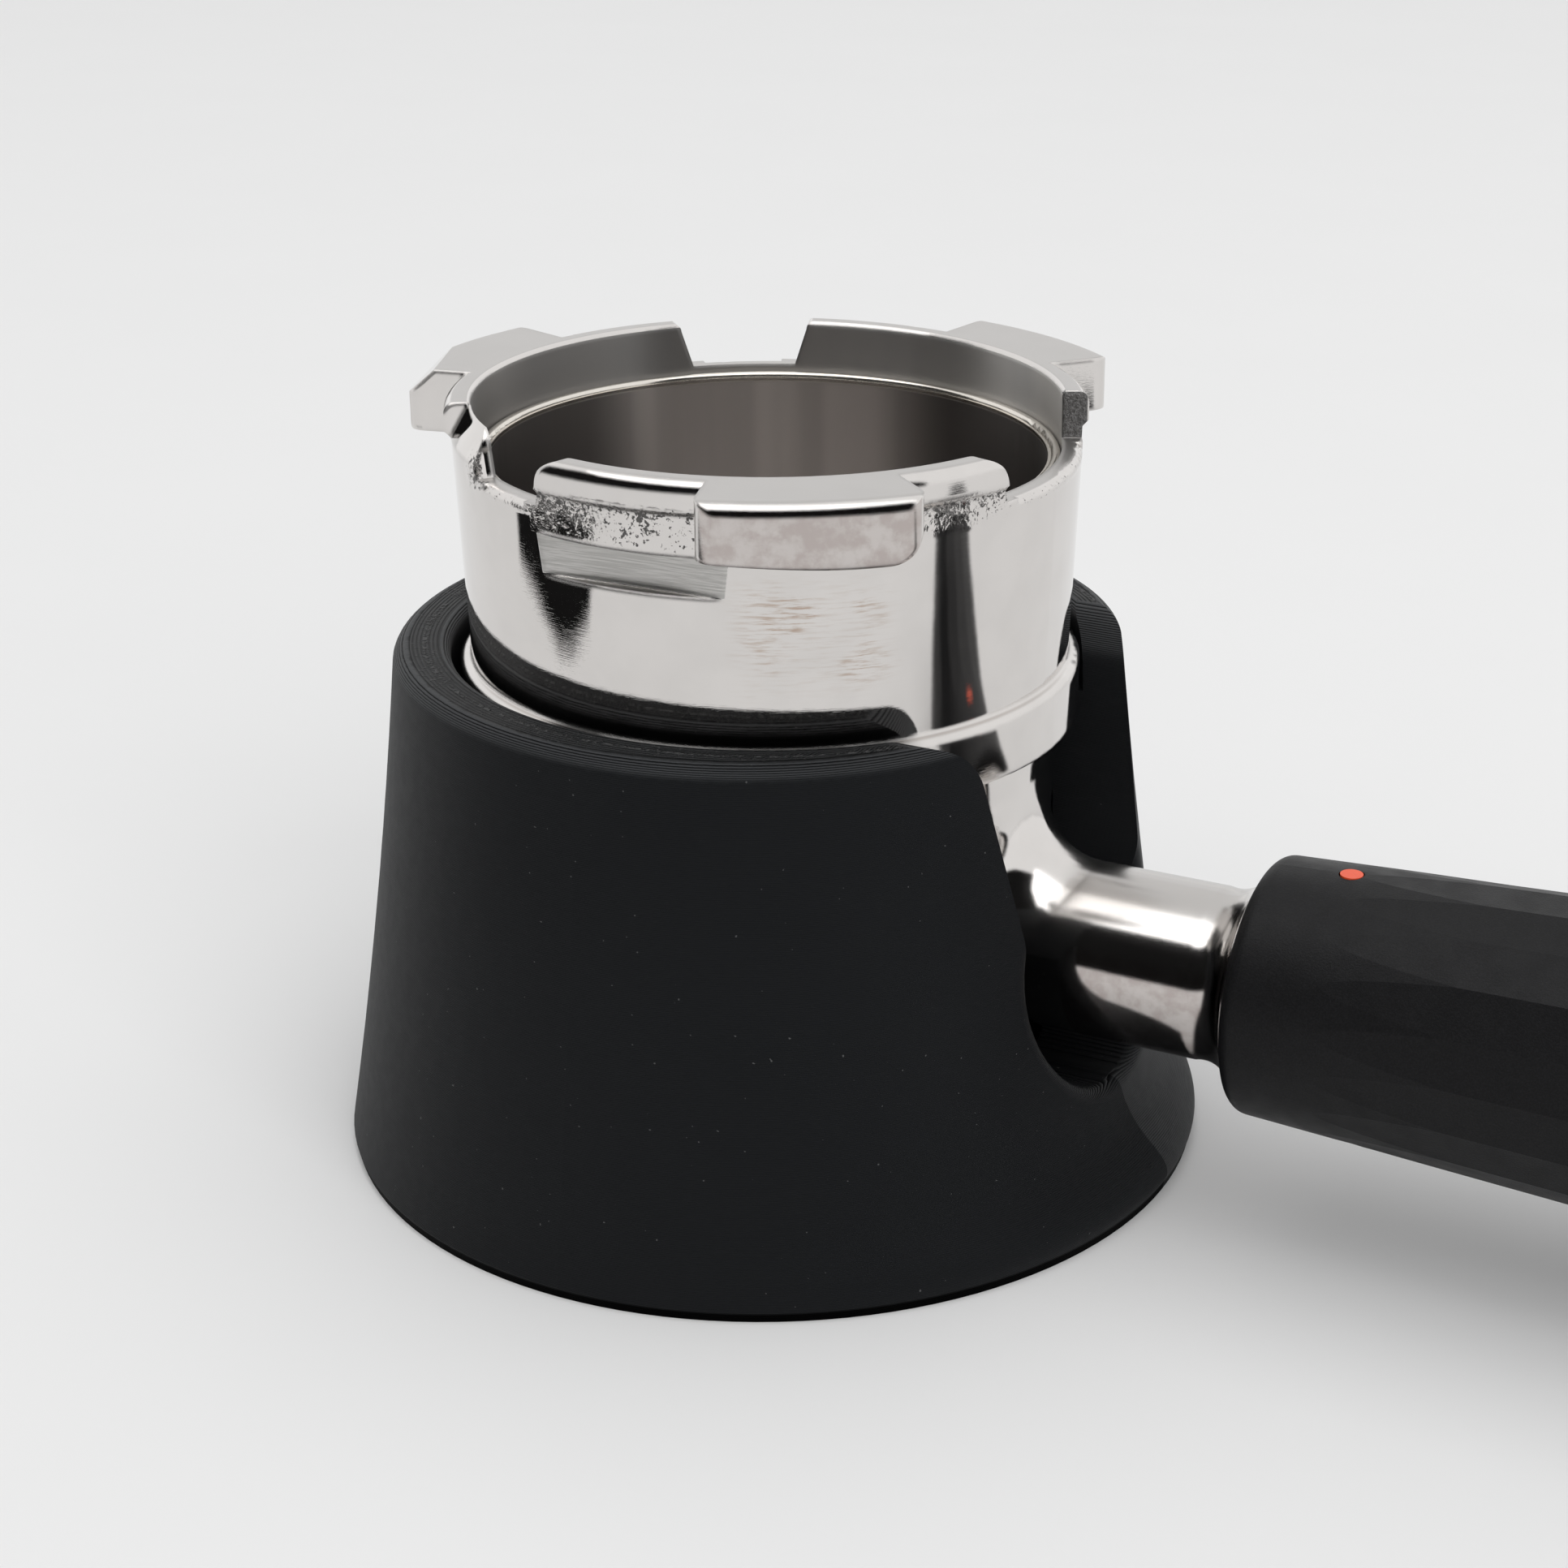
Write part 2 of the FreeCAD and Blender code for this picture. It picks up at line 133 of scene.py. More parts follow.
class Paint:
    """One material, with short ways to add and join its nodes. Places are in millimetres."""

    def __init__(self, name):
        self.material = bpy.data.materials.new(name)
        self.material.use_nodes = True
        self.tree = self.material.node_tree
        self.shader = self.tree.nodes["Principled BSDF"]
        place = self.add("TexCoord").outputs["Object"]
        self.place = self.vector("MULTIPLY", place, (1.0 / MM, 1.0 / MM, 1.0 / MM))
        self.x, self.y, self.z = self.add("SeparateXYZ", self.place).outputs
        normal = self.add("NewGeometry").outputs["Normal"]
        self.up = self.add("SeparateXYZ", normal).outputs[2]
        self.angle = self.math("DEGREES", self.math("ARCTAN2", self.y, self.x))
        self.radius = self.math("SQRT", self.math("ADD", self.product(self.x, self.x),
                                                  self.product(self.y, self.y)))

    def join(self, value, socket):
        """Link another node's output to a socket, or set the socket to a value."""
        if isinstance(value, bpy.types.NodeSocket):
            self.tree.links.new(value, socket)
        elif value is not None:
            socket.default_value = value

    def add(self, kind, *values, **settings):
        """New node with its settings made and its first sockets joined to the values."""
        node = self.tree.nodes.new("ShaderNode" + kind)
        for key, value in settings.items():
            setattr(node, key, value)
        for socket, value in zip(node.inputs, values):
            self.join(value, socket)
        return node

    def set(self, **values):
        """Join values to the shader's own sockets."""
        for key, value in values.items():
            self.join(value, self.shader.inputs[key.replace("_", " ")])

    def math(self, operation, *values):
        return self.add("Math", *values, operation=operation).outputs[0]

    def vector(self, operation, *values):
        return self.add("VectorMath", *values, operation=operation).outputs[0]

    def product(self, first, *others):
        for other in others:
            first = self.math("MULTIPLY", first, other)
        return first

    def most(self, first, *others):
        for other in others:
            first = self.math("MAXIMUM", first, other)
        return first

    def span(self, value, start, end, low=0.0, high=1.0):
        """Eased step from low to high as the value goes from start to end."""
        return self.add("MapRange", value, start, end, low, high, interpolation_type="SMOOTHSTEP").outputs[0]

    def past(self, value, edge, soft):
        """One beyond an edge, easing from nothing before it."""
        return self.span(value, edge - soft, edge + soft)

    def before(self, value, edge, soft):
        """One before an edge, easing to nothing beyond it."""
        return self.span(value, edge - soft, edge + soft, 1.0, 0.0)

    def band(self, value, low, high, soft):
        """One between low and high, easing to nothing outside."""
        return self.product(self.past(value, low, soft), self.before(value, high, soft))

    def patch(self, place, soft_turn, soft_height):
        """One on a stretch of the turn between two heights."""
        turn, heights = place
        return self.product(self.band(self.angle, *turn, soft_turn), self.band(self.z, *heights, soft_height))

    def noise(self, scale, detail=2.0, rough=0.5, place=None):
        node = self.add("TexNoise", place or self.place)
        self.join(scale, node.inputs["Scale"])
        self.join(detail, node.inputs["Detail"])
        self.join(rough, node.inputs["Roughness"])
        return node.outputs[0]

    def wrapped(self, along, up):
        """Noise place on a wall about the upright axis: stretched along it and up it."""
        return self.add("CombineXYZ", self.math("MULTIPLY", self.angle, RING_PER_DEGREE * along),
                        self.math("MULTIPLY", self.z, up), self.radius).outputs[0]

    def around(self):
        """Direction of a cut turned about the upright axis."""
        across = self.add("CombineXYZ", self.math("MULTIPLY", self.y, -1.0), self.x, 0.0)
        return self.vector("NORMALIZE", across.outputs[0])

    def mix(self, share, first, second):
        """Colour between two colours."""
        node = self.add("Mix", data_type="RGBA")
        for i, value in ((0, share), (6, first), (7, second)):
            self.join(value, node.inputs[i])
        return node.outputs[2]

    def blend(self, share, first, second):
        """Number between two numbers."""
        node = self.add("Mix")
        for i, value in ((0, share), (2, first), (3, second)):
            self.join(value, node.inputs[i])
        return node.outputs[0]

    def bump(self, height, distance, strength=1.0, under=None):
        """Bump from a height of 0 to 1; distance in millimetres."""
        node = self.add("Bump")
        self.join(strength, node.inputs["Strength"])
        self.join(distance * MM, node.inputs["Distance"])
        self.join(height, node.inputs["Height"])
        self.join(under, node.inputs["Normal"])
        return node.outputs[0]


def grey(value):
    return (value, value, value, 1.0)


def solid(colour, share=1.0):
    return (*(channel * share for channel in colour), 1.0)


# Printed stand


def layer_bead(p, look):
    """Number of the printed layer, and its round outline from 0 at the joints to 1."""
    layer = p.math("DIVIDE", p.z, look.layer_height / MM)
    across = p.math("MULTIPLY_ADD", p.math("FRACT", layer), 2.0, -1.0)
    return p.math("FLOOR", layer), p.math("SQRT", p.math("SUBTRACT", 1.02, p.product(across, across)))


def layer_relief(p, layer, bead, level):
    """Uneven layers, deeper where the side lies back, over a keel below the slot."""
    row = p.add("TexWhiteNoise", noise_dimensions="1D")
    p.join(layer, row.inputs["W"])
    lying = p.product(p.up, p.up, p.span(p.up, 0.0, 0.1))
    uneven = p.math("MULTIPLY_ADD", row.outputs[0], 0.3, bead)
    side = p.product(uneven, p.math("MULTIPLY_ADD", lying, 5.0, 0.4))
    share = p.math("MINIMUM", p.product(p.math("ABSOLUTE", p.angle), 1.0 / KEEL_HALF), 1.0)
    away = p.math("SUBTRACT", 1.0, share)
    keel = p.bump(p.product(away, away), 2.6)
    return p.bump(p.blend(level, side, 0.5), 0.05, 1.0, keel)


def rim_strokes(p):
    """Strokes drawn on the level top, along its walls and slanting between, and their lumps."""
    arc = p.math("MULTIPLY", p.angle, RIM_PER_DEGREE)
    slant = p.math("FRACT", p.math("MULTIPLY", p.math("ADD", arc, p.radius), STROKES_PER_MM))
    round_about = p.math("FRACT", p.math("MULTIPLY", p.radius, WALLS_PER_MM))
    patch = p.span(p.noise(0.16, 2.0), 0.45, 0.6)
    drawn = p.blend(p.product(p.band(p.radius, *RIM_WALLS, 0.15), patch),
                    p.band(round_about, 0.2, 0.8, 0.2), p.band(slant, 0.3, 0.7, 0.2))
    blobs = p.span(p.noise(1.4, 2.0), 0.55, 0.7)
    seam = p.product(p.span(p.noise(1.1, 2.0), 0.45, 0.6), p.band(p.radius, *RIM_SEAM, 0.2))
    return drawn, p.math("ADD", p.product(blobs, patch), p.product(seam, 1.5))


def printed_plastic(look):
    """Matte plastic in layers, with strokes and lumps on the level top of the rim, painted shade and
    highlight along the layers where the side turns up to the rim, and a painted contact shadow along the
    bottom edge.
    """
    p = Paint("printed_plastic")
    level = p.product(p.span(p.up, 0.985, 0.998), p.span(p.z, STAND_TOP - 0.4, STAND_TOP - 0.1))
    # Painted contact shadow: near black up to the lower height, easing out above it
    above_painted_foot_shadow = p.span(p.z, *FOOT_PAINTED_SHADOW)
    layer, bead = layer_bead(p, look)
    drawn, lumps = rim_strokes(p)
    top = p.bump(p.product(level, p.math("ADD", p.product(drawn, 0.5), lumps)), 0.3, 1.0,
                 layer_relief(p, layer, bead, level))
    grain = p.bump(p.noise(7.0, 3.0, 0.65), 0.010, 0.6, top)

    worn = p.math("ADD", p.product(p.noise(0.05, 3.0, 0.6), 0.3), p.product(level, 0.8))
    dark = p.mix(worn, solid(look.plastic), solid(look.worn_plastic))
    turned_up = p.product(p.span(p.up, 0.12, 0.5), p.span(p.z, STAND_TOP - 5.0, STAND_TOP - 3.0),
                          p.math("SUBTRACT", 1.0, level))
    # Painted shade in the grooves between layers and painted highlight on their crowns, where the side turns
    # up to the rim
    crown = p.span(bead, 0.35, 0.95)
    painted_layer_shading = p.mix(crown, grey(0.0008), solid(look.worn_plastic, 2.2))
    with_painted_layer_shading = p.mix(p.math("MULTIPLY_ADD", turned_up, 0.85, 0.15), dark, painted_layer_shading)
    stroked = p.mix(p.math("ADD", p.product(drawn, 0.3), p.product(lumps, 0.6)), dark, grey(0.075))
    # The painted contact shadow's near black is mixed in here, and its sheen is lowered below
    tone = p.mix(above_painted_foot_shadow, grey(0.0002), p.mix(level, with_painted_layer_shading, stroked))
    specks = p.product(p.span(p.noise(2.3, 0.0), 0.86, 0.88), above_painted_foot_shadow)
    sheen = p.blend(turned_up, p.blend(above_painted_foot_shadow, 0.02, 0.18), p.blend(crown, 0.05, 0.42))
    p.set(Base_Color=p.mix(specks, tone, grey(0.07)), Normal=grain, Specular_IOR_Level=sheen,
          Roughness=p.span(p.noise(0.6, 3.0), 0.3, 0.7, 0.54, 0.57), Specular_Tint=(0.90, 0.94, 1.0, 1.0))
    return p.material


# Casting


def casting_places(p, look):
    """Where the casting is bored, faced, milled, left raw or pitted, each from 0 to 1."""
    on = SimpleNamespace()
    upright = p.span(p.up, 0.3, 0.5, 1.0, 0.0)
    off_lugs = p.before(p.radius, LUG_START, 0.1)
    on.bored = p.product(p.before(p.radius, BORE_LIMIT, 0.1), p.span(p.z, BORE_LOW, BORE_LOW + 0.1), upright)
    on.faced = p.product(p.span(p.up, 0.9, 0.97), p.span(p.z, NOTCH_LEVEL - 0.4, NOTCH_LEVEL - 0.2))
    on.neck = p.product(p.span(p.x, *NECK_ROOT), p.span(p.z, *NECK_LIMIT, 1.0, 0.0))
    turn = math.radians(look.flat_angle)
    depth = p.math("ADD", p.product(p.x, math.cos(turn)), p.product(p.y, math.sin(turn)))
    on.milled = p.product(p.band(depth, FLAT_DEPTH - 0.08, FLAT_DEPTH + 0.08, 0.02), p.band(p.z, *FLAT, 0.05))
    on.lug_face = p.product(p.span(p.radius, LUG_RADIUS - 0.7, LUG_RADIUS - 0.4), upright)

    left = p.product(p.patch(LEFT_END, 1.0, 0.5), p.span(p.z, 79.0, 84.0, 0.5, 1.0))
    right = p.product(p.patch(RIGHT_END, 1.0, 0.6), p.span(p.z, 80.0, 83.6, 0.4, 0.95))
    gate = p.product(p.patch(GATE, 1.5, 0.8), p.span(p.radius, 33.2, 33.9))
    edge = p.product(p.patch(LOW_EDGE, 1.0, 0.3), p.span(p.radius, 33.6, 34.2), off_lugs, 0.55)
    cluster = p.span(p.noise(0.55, 2.0), 0.3, 0.62, 0.55, 1.0)
    on.raw = p.product(p.most(left, right, gate, edge), cluster)
    limit = p.blend(on.raw, 0.80, 0.50)
    holes = p.span(p.noise(2.4, 3.0, 0.65), p.math("SUBTRACT", limit, 0.025), p.math("ADD", limit, 0.025))
    on.pits = p.product(holes, p.span(on.raw, 0.02, 0.1))
    on.end = p.product(p.band(p.angle, *NOTCH_END, 0.4), p.past(p.z, NOTCH_LEVEL, 0.1),
                       p.span(p.up, 0.7, 0.9, 1.0, 0.0), p.span(p.radius, 32.35, 32.45), off_lugs)
    return on


def casting_relief(p, on, cuts, grain):
    """Rounded edges, hand polish, scratches, cutter marks, raw skin, pits and a rough notch end."""
    soft = p.add("Bevel", 0.8 * MM, samples=6).outputs[0]
    hand = p.bump(p.noise(0.09, 1.0), 0.05, 1.0, soft)
    brush = p.noise(1.0, 3.0, 0.6, place=p.wrapped(0.35, 9.0))
    scratched = p.bump(brush, 0.0025, 1.0, hand)
    cut = p.bump(p.product(p.most(on.milled, p.product(on.faced, 0.3)), cuts), 0.02, 1.0, scratched)
    uneven = p.bump(p.product(on.raw, p.noise(0.9, 3.0)), 0.14, 1.0, cut)
    pitted = p.bump(p.math("SUBTRACT", 1.0, on.pits), 0.12, 1.0, uneven)
    return p.bump(p.product(on.end, grain), 0.4, 1.0, pitted)


def casting_outside(p, look, on, cuts):
    """Cloudy polish with a brown stain, smudged lug faces, and duller faced and milled places."""
    cloud = p.span(p.noise(0.2, 3.0, 0.5), 0.3, 0.75)
    bright = p.mix(cloud, solid(look.casting), solid(look.casting, 0.955))
    brown = p.product(p.patch(STAIN, 5.0, 2.5),
                      p.span(p.noise(1.0, 4.0, 0.65, place=p.wrapped(0.25, 2.8)), 0.46, 0.66),
                      p.span(p.noise(0.16, 2.0), 0.4, 0.55, 0.25, 1.0))
    stained = p.mix(brown, bright, solid(BROWN))
    blotch = p.product(on.lug_face, p.span(p.noise(0.5, 4.0, 0.6), 0.35, 0.65, 0.5, 1.0))
    smudged = p.mix(p.product(blotch, 0.85), stained, solid(SMUDGE))
    satin = p.mix(p.product(on.faced, 0.6), smudged, solid(FACED))
    return p.mix(on.milled, satin, p.mix(p.span(cuts, 0.4, 0.6), solid(CUT_DARK), solid(CUT_PALE)))


def casting_colour(p, look, on, cuts, grain):
    """The outside, the bored wall with painted light and shade and painted dark streaks standing in for its
    reflections, painted shade on the neck's top and in the groove, pits and notch end.
    """
    # Painted reflections in the bore: darker streaks at given turns, over a wall painted darker on one side
    # and lighter on the other
    streaks = p.most(*(p.product(p.band(p.angle, start, end, soft), strength)
                       for start, end, soft, strength in BORE_PAINTED_STREAKS))
    fine = p.span(p.noise(1.0, 2.0, 0.5, place=p.wrapped(0.3, 0.0)), 0.35, 0.65, 0.7, 1.0)
    wall = p.mix(p.span(p.x, -15.0, 7.0), solid(BORE_PAINTED_SHADE), solid(BORE_PAINTED_LIGHT))
    streaked = p.mix(p.product(streaks, fine, 0.35), wall, grey(0.3))
    tone = p.mix(on.bored, casting_outside(p, look, on, cuts), streaked)
    # Painted shade: the top of the neck is darkened to dim the sky's reflection there
    painted_neck_shade = p.product(on.neck, p.span(p.up, 0.75, 0.95), p.span(p.x, *NECK_START), 0.8)
    tone = p.mix(painted_neck_shade, tone, solid(NECK_TOP_PAINTED_SHADE))
    # Painted shade over the bead's highlight line
    groove = p.product(p.patch(GROOVE_PAINTED_SHADE, 4.0, 0.1), p.span(p.radius, 33.4, 33.5), 0.85)
    tone = p.mix(groove, tone, grey(0.05))
    tone = p.mix(p.product(on.pits, 0.8), tone, grey(0.03))
    return p.mix(p.product(on.end, 0.8), tone, p.mix(p.span(grain, 0.4, 0.65), grey(0.03), grey(0.2)))


def casting_roughness(p, on):
    """Mirror polish, satin where it is machined, dull where it is raw."""
    gloss = p.span(p.noise(0.5, 3.0, 0.6), 0.3, 0.75, 0.02, 0.045)
    gloss = p.blend(p.most(on.milled, p.product(on.faced, 0.85)), gloss, 0.38)
    gloss = p.blend(on.neck, gloss, p.span(p.up, 0.45, 0.85, 0.08, 0.2))
    gloss = p.blend(on.bored, gloss, 0.42)
    return p.blend(p.most(on.pits, on.end, p.product(on.raw, 0.25)), gloss, 0.5)


def cast_metal(look):
    """Polished casting: bored inside, faced on top, milled in one place, raw in others."""
    p = Paint("cast_metal")
    on = casting_places(p, look)
    cuts = p.noise(1.0, 3.0, 0.6, place=p.wrapped(0.12, 6.0))
    grain = p.noise(3.2, 3.0, 0.7)
    p.set(Base_Color=casting_colour(p, look, on, cuts, grain), Metallic=1.0,
          Roughness=casting_roughness(p, on), Normal=casting_relief(p, on, cuts, grain))
    p.set(Anisotropic=p.product(on.bored, 0.85), Anisotropic_Rotation=0.25, Tangent=p.around())
    return p.material


# Basket and handle


def pressed_steel(look):
    """Brushed cup with a pattern of fine holes in its floor, and painted shade on its wall but for a streaked
    painted highlight band.
    """
    p = Paint("pressed_steel")
    brush = p.noise(1.0, 3.0, 0.6, place=p.wrapped(0.8, 0.05))
    hem = p.span(p.z, *BASKET_HEM)
    # Painted light and shade on one steel: the wall is darkened to a quarter as painted shade, except a
    # streaked painted highlight band and the floor
    streaks = p.span(p.noise(1.0, 1.0, 0.5, place=p.wrapped(0.13, 0.0)), 0.4, 0.6, 0.75, 1.0)
    painted_wall_highlight = p.product(p.band(p.angle, *WALL_PAINTED_HIGHLIGHT, 12.0), streaks, p.span(p.z, *BASKET_ROUND))
    floor_clear_of_painted_shade = p.span(p.z, *BASKET_ROUND, 0.7, 0.0)
    tone = p.mix(p.most(painted_wall_highlight, floor_clear_of_painted_shade), solid(look.basket, 0.25), solid(look.basket))
    tone = p.mix(hem, tone, solid(HEM_PALE))
    grid = p.vector("FRACTION", p.vector("MULTIPLY", p.place, (0.9, 0.9, 0.0)))
    away = p.add("VectorMath", grid, (0.5, 0.5, 0.0), operation="DISTANCE").outputs["Value"]
    hole = p.product(p.span(away, 0.16, 0.22, 1.0, 0.0), p.before(p.radius, HOLES_RADIUS, 0.1))
    p.set(Base_Color=p.mix(hole, tone, grey(0.01)), Metallic=1.0,
          Roughness=p.blend(hem, p.blend(brush, 0.4, 0.5), 0.2), Normal=p.bump(brush, 0.01, 0.6))
    p.set(Anisotropic=p.product(p.span(p.z, 60.0, 61.0), 0.8), Anisotropic_Rotation=0.25, Tangent=p.around())
    return p.material


def blasted_black(look):
    """Bead blasted and blackened metal."""
    p = Paint("blasted_black")
    grain = p.noise(5.0, 3.0, 0.7)
    tone = p.mix(p.span(grain, 0.35, 0.75), solid(look.grip), solid(look.grip, 1.8))
    p.set(Base_Color=tone, Roughness=p.span(p.noise(0.3, 3.0), 0.3, 0.7, 0.42, 0.5),
          Normal=p.bump(grain, 0.04, 0.8), Specular_IOR_Level=0.15)
    return p.material


def orange_plastic(look):
    """Slightly uneven inlay."""
    p = Paint("orange_plastic")
    tone = p.mix(p.noise(3.0, 2.0), solid(look.dot), solid(look.dot, 0.85))
    p.set(Base_Color=tone, Roughness=0.4, Normal=p.bump(p.noise(6.0, 2.0), 0.01, 0.4))
    return p.material


def turned_steel():
    """Rod turned along its length."""
    p = Paint("turned_steel")
    turned = p.noise(1.0, 2.0, 0.5, place=p.vector("MULTIPLY", p.place, (6.0, 0.3, 0.3)))
    p.set(Base_Color=p.mix(turned, grey(0.45), grey(0.6)), Metallic=1.0,
          Roughness=p.blend(turned, 0.25, 0.38), Normal=p.bump(turned, 0.01, 0.5))
    return p.material


# Settings


class StandSettings(bpy.types.PropertyGroup):
    """Layers and colours of the printed stand"""

    layer_height: bpy.props.FloatProperty(
        name="Layer height", description="Height of one printed layer", default=0.0002, unit="LENGTH")
    plastic: bpy.props.FloatVectorProperty(
        name="Plastic", description="Colour of the printed plastic",
        default=(0.0020, 0.0024, 0.0030), subtype="COLOR")
    worn_plastic: bpy.props.FloatVectorProperty(
        name="Dull plastic", description="Colour where it is duller",
        default=(0.0090, 0.0093, 0.0097), subtype="COLOR")


class MetalSettings(bpy.types.PropertyGroup):
    """Colours of the casting and the basket, and where the flat is"""

    casting: bpy.props.FloatVectorProperty(
        name="Casting", description="Colour of the polished casting",
        default=(0.70, 0.675, 0.655), subtype="COLOR")
    basket: bpy.props.FloatVectorProperty(
        name="Basket", description="Colour of the brushed basket",
        default=(0.56, 0.515, 0.485), subtype="COLOR")
    flat_angle: bpy.props.FloatProperty(
        name="Milled flat", description="Degrees from the handle to the milled flat", default=-87.2)


class HandleSettings(bpy.types.PropertyGroup):
    """Colours of the grip and its dot"""

    grip: bpy.props.FloatVectorProperty(
        name="Grip", description="Colour of the blackened grip",
        default=(0.0060, 0.0060, 0.0065), subtype="COLOR")
    dot: bpy.props.FloatVectorProperty(
        name="Dot", description="Colour of the inlaid dot", default=(0.83, 0.09, 0.025), subtype="COLOR")


class StageSettings(bpy.types.PropertyGroup):
    """Lens, lights and floor"""

    lens: bpy.props.FloatProperty(
        name="Lens", description="Focal length in millimetres", default=69.408)
    sky: bpy.props.FloatProperty(
        name="Sky", description="Strength of the even light", default=0.60)
    lamp: bpy.props.FloatProperty(
        name="Soft box", description="Power of the soft box in watts", default=42.0)
    fill: bpy.props.FloatProperty(
        name="Fill", description="Power of the side fill in watts", default=20.0)
    camera_side: bpy.props.FloatProperty(
        name="Camera side", description="Degrees from the handle to the dark side of the room",
        default=275.0)
    floor_half: bpy.props.FloatProperty(
        name="Floor", description="Half the floor's side", default=3.0, unit="LENGTH")


# Pieces


def finish_node(name, material):
    """Give a CAD node its material."""
    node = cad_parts[name]
    node.data.materials.clear()
    node.data.materials.append(material)


class TAMPING_OT_stand(bpy.types.Operator):
    """Printed stand"""

    bl_idname = "tamping.stand"
    bl_label = "Stand"

    def execute(self, context):
        finish_node("stand_body", printed_plastic(context.scene.tamping_stand))
        return {"FINISHED"}


class TAMPING_OT_casting(bpy.types.Operator):
    """Portafilter casting"""

    bl_idname = "tamping.casting"
    bl_label = "Casting"

    def execute(self, context):
        finish_node("portafilter_body", cast_metal(context.scene.tamping_metal))
        return {"FINISHED"}


class TAMPING_OT_basket(bpy.types.Operator):
    """Filter basket"""

    bl_idname = "tamping.basket"
    bl_label = "Basket"

    def execute(self, context):
        finish_node("filter_basket", pressed_steel(context.scene.tamping_metal))
        return {"FINISHED"}


class TAMPING_OT_handle(bpy.types.Operator):
    """Grip with its dot and stud"""

    bl_idname = "tamping.handle"
    bl_label = "Handle"

    def execute(self, context):
        look = context.scene.tamping_handle
        finish_node("handle_grip", blasted_black(look))
        finish_node("handle_dot", orange_plastic(look))
        finish_node("handle_stud", turned_steel())
        return {"FINISHED"}


# Stage


def make_floor(look):
    """Plain pale floor."""
    bpy.ops.object.select_all(action="DESELECT")
    bpy.ops.mesh.primitive_plane_add(size=2.0 * look.floor_half)
    floor = bpy.context.object
    floor.name = "floor"
    p = Paint("floor_clear_of_painted_shade")
    tone = p.mix(p.noise(0.02, 3.0), grey(0.80), grey(0.815))
    p.set(Base_Color=tone, Roughness=0.75, Specular_IOR_Level=0.2)
    floor.data.materials.append(p.material)
    return floor


def make_sky(look):
    """Even light, which looks white by itself and in the metal."""
    world = bpy.data.worlds.new("studio")
    bpy.context.scene.world = world
    world.use_nodes = True
    tree = world.node_tree
    sky = tree.nodes["Background"]
    path = tree.nodes.new("ShaderNodeLightPath")
    seen = tree.nodes.new("ShaderNodeMath")
    seen.operation = "MAXIMUM"
    strength = tree.nodes.new("ShaderNodeMapRange")
    strength.inputs["To Min"].default_value = look.sky
    strength.inputs["To Max"].default_value = 1.0
    tree.links.new(path.outputs["Is Camera Ray"], seen.inputs[0])
    tree.links.new(path.outputs["Is Glossy Ray"], seen.inputs[1])
    tree.links.new(seen.outputs[0], strength.inputs["Value"])
    tree.links.new(strength.outputs[0], sky.inputs["Strength"])
    sky.inputs["Color"].default_value = grey(1.0)


def make_lamp(name, place, size, power):
    """Square soft lamp facing down, which doesn't show in the metal."""
    bpy.ops.object.light_add(type="AREA", location=place)
    lamp = bpy.context.object
    lamp.name = name
    lamp.data.size = size
    lamp.data.energy = power
    lamp.visible_glossy = False
    return lamp


def make_bright_card():
    """White card overhead, which makes the highlight along the neck."""
    bpy.ops.mesh.primitive_plane_add(size=1.0, location=BRIGHT_PLACE)
    card = bpy.context.object
    card.name = "bright_card"
    card.scale = (*BRIGHT_SIZE, 1.0)
    bpy.ops.object.transform_apply(location=True, rotation=True, scale=True)
    white = Paint("bright_cloth")
    white.set(Base_Color=grey(0.8), Emission_Color=grey(1.0), Emission_Strength=BRIGHT_STRENGTH)
    card.data.materials.append(white.material)
    return card


def make_curtain(look):
    """Dark half cylinder on the camera's side of the room."""
    bpy.ops.mesh.primitive_cylinder_add(
        vertices=96, radius=CURTAIN_RADIUS, depth=CURTAIN_HEIGHT, end_fill_type="NOTHING",
        location=(0.0, 0.0, CURTAIN_LIFT + 0.5 * CURTAIN_HEIGHT))
    curtain = bpy.context.object
    curtain.name = "dark_curtain"
    turn = math.radians(look.camera_side)
    side = Vector((math.cos(turn), math.sin(turn), 0.0))
    bpy.ops.object.mode_set(mode="EDIT")
    bpy.ops.mesh.select_all(action="SELECT")
    bpy.ops.mesh.bisect(plane_co=side * CURTAIN_CUT, plane_no=side, clear_inner=True)
    bpy.ops.object.mode_set(mode="OBJECT")
    bpy.ops.object.transform_apply(location=True, rotation=True, scale=True)
    return curtain


def make_dark_card():
    """Dark card at the left front, whose dark shape shows in the casting beside the flat."""
    bpy.ops.mesh.primitive_circle_add(vertices=len(CARD), fill_type="NGON", location=(0.0, 0.0, 0.0))
    card = bpy.context.object
    card.name = "dark_card"
    for vertex, corner in zip(card.data.vertices, CARD):
        vertex.co = Vector(corner) * MM
    return card


def make_cards(look):
    """The cards, seen by glossy rays alone."""
    bright = make_bright_card()
    curtain = make_curtain(look)
    dark = make_dark_card()
    black = Paint("black_cloth")
    black.set(Base_Color=grey(0.012), Roughness=0.9, Specular_IOR_Level=0.0)
    for card in (curtain, dark):
        card.data.materials.append(black.material)
    for card in (bright, curtain, dark):
        card.visible_camera = False
        card.visible_diffuse = False
        card.visible_shadow = False
    return bright, curtain, dark


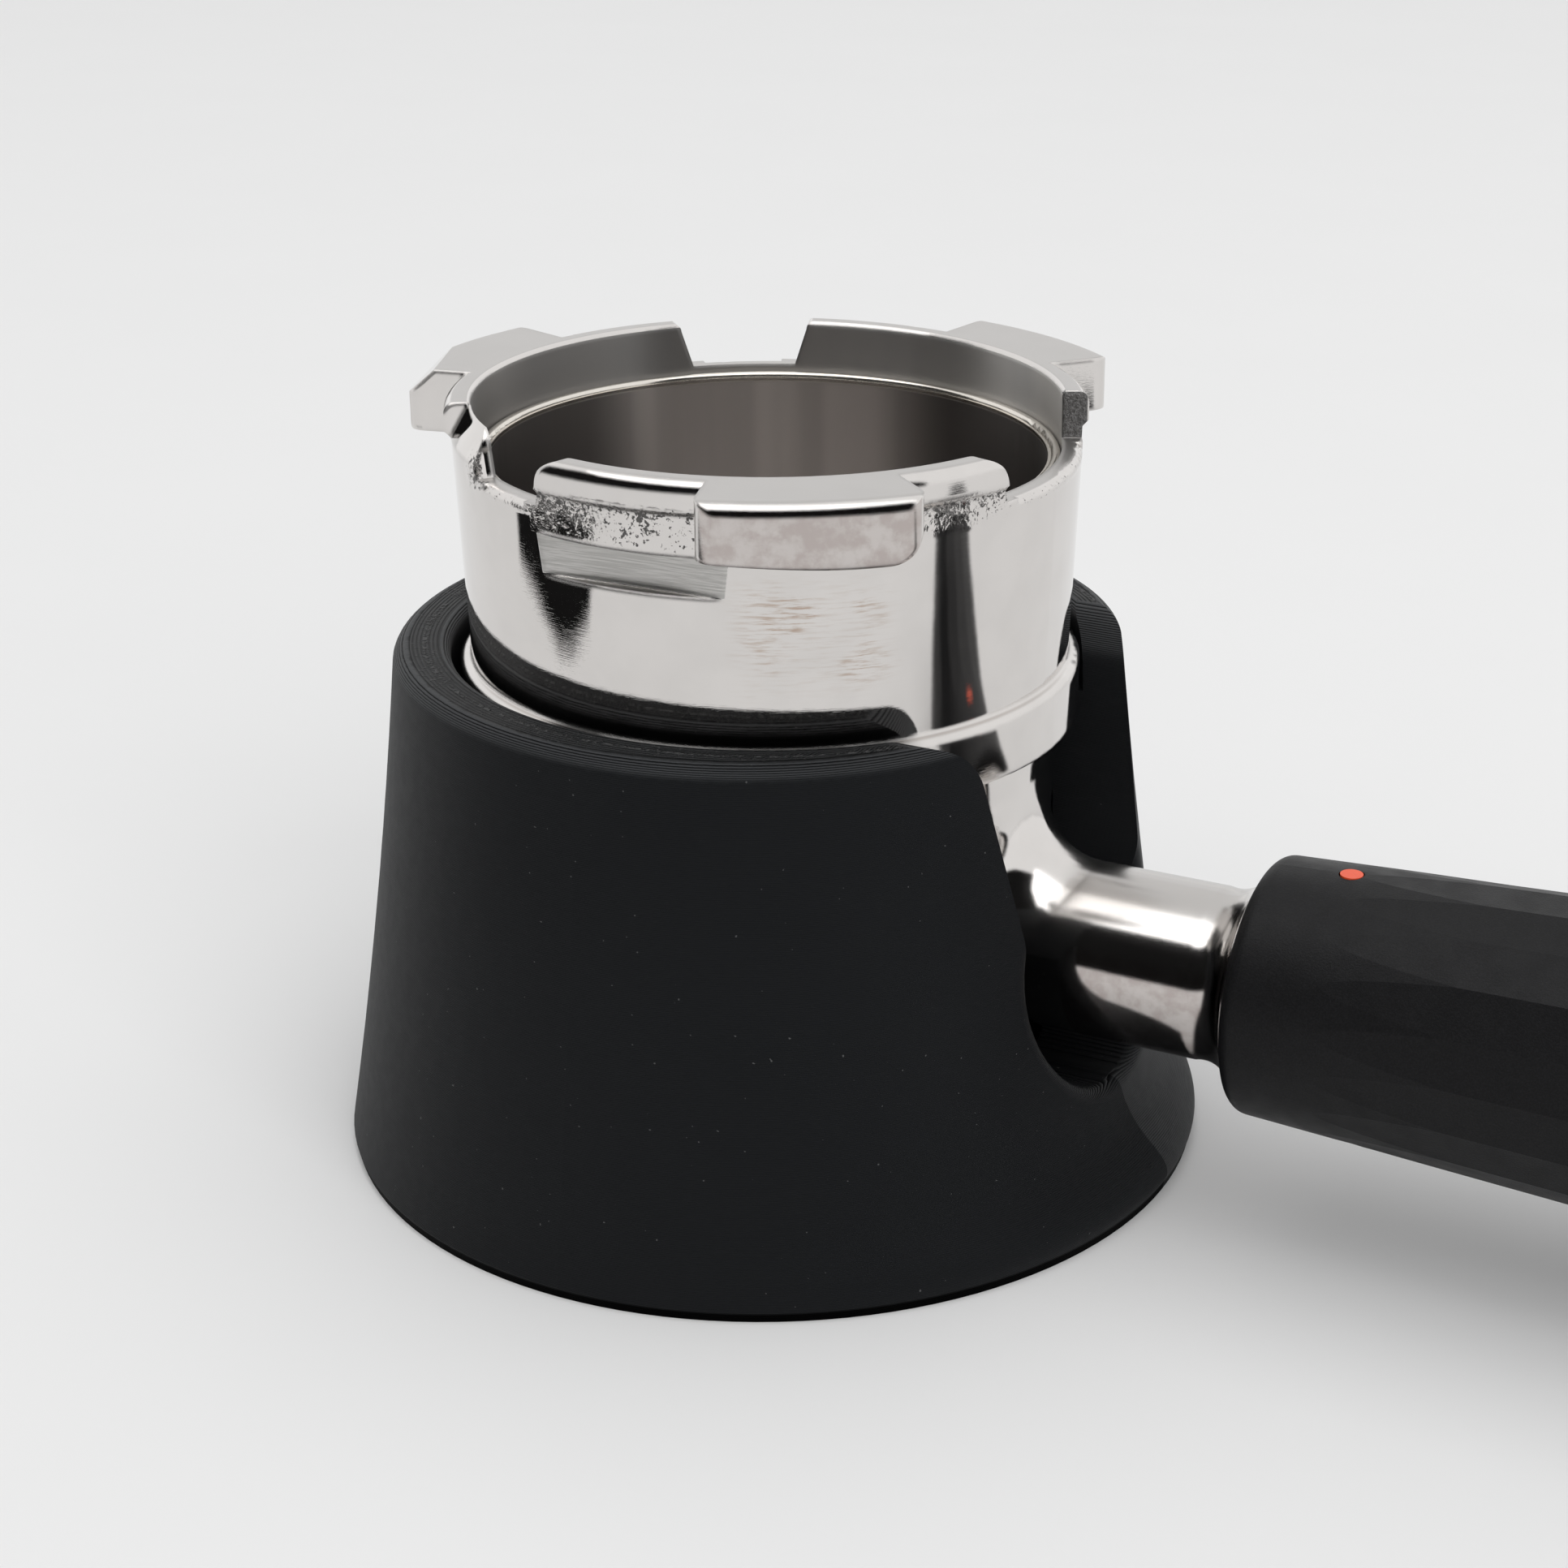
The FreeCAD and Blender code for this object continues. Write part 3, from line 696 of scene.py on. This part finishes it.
def make_camera(look):
    """Camera at the photograph's viewing angle, shifted as its frame is."""
    bpy.ops.object.camera_add()
    camera = bpy.context.object
    camera.name = "camera"
    forward = Vector(CAMERA_AIM).normalized()
    level = Vector((forward.y, -forward.x, 0.0)).normalized()
    above = level.cross(forward)
    roll = math.radians(CAMERA_ROLL)
    right = level * math.cos(roll) + above * math.sin(roll)
    up = above * math.cos(roll) - level * math.sin(roll)
    place = Matrix((right, up, -forward)).transposed().to_4x4()
    place.translation = Vector(CAMERA_PLACE)
    camera.matrix_world = place
    camera.data.lens = look.lens
    camera.data.sensor_width = SENSOR_WIDTH
    camera.data.shift_x, camera.data.shift_y = CAMERA_SHIFT
    camera.data.clip_start = CLIP_START
    bpy.context.scene.camera = camera


class TAMPING_OT_stage(bpy.types.Operator):
    """Floor, soft light and camera"""

    bl_idname = "tamping.stage"
    bl_label = "Stage"

    def execute(self, context):
        look = context.scene.tamping_stage
        floor = make_floor(look)
        make_sky(look)
        lamp = make_lamp("soft_box", SOFT_BOX_PLACE, SOFT_BOX_SIZE, look.lamp)
        fill = make_lamp("side_fill", FILL_PLACE, FILL_SIZE, look.fill)
        fill.rotation_euler = (Vector(FILL_AIM) - fill.location).to_track_quat("-Z", "Y").to_euler()
        make_cards(look)
        make_camera(look)
        context.scene.view_settings.view_transform = "Standard"
        return {"FINISHED"}


class TAMPING_PT_panel(bpy.types.Panel):
    """Lists the pieces and the stage"""

    bl_label = "Tamping Station"
    bl_space_type = "VIEW_3D"
    bl_region_type = "UI"
    bl_category = "Tamping"

    def draw(self, context):
        for operator in OPERATORS:
            self.layout.operator(operator.bl_idname)


OPERATORS = (TAMPING_OT_stand, TAMPING_OT_casting, TAMPING_OT_basket, TAMPING_OT_handle, TAMPING_OT_stage)
SETTINGS = {"tamping_stand": StandSettings, "tamping_metal": MetalSettings,
            "tamping_handle": HandleSettings, "tamping_stage": StageSettings}


def register():
    for part in (*SETTINGS.values(), *OPERATORS, TAMPING_PT_panel):
        bpy.utils.register_class(part)
    for name, group in SETTINGS.items():
        setattr(bpy.types.Scene, name, bpy.props.PointerProperty(type=group))


def unregister():
    for name in SETTINGS:
        delattr(bpy.types.Scene, name)
    for part in (TAMPING_PT_panel, *OPERATORS, *SETTINGS.values()):
        bpy.utils.unregister_class(part)


def main():
    register()
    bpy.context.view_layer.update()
    bpy.ops.tamping.stand()
    bpy.ops.tamping.casting()
    bpy.ops.tamping.basket()
    bpy.ops.tamping.handle()
    bpy.ops.tamping.stage()


if __name__ == "__main__":
    main()
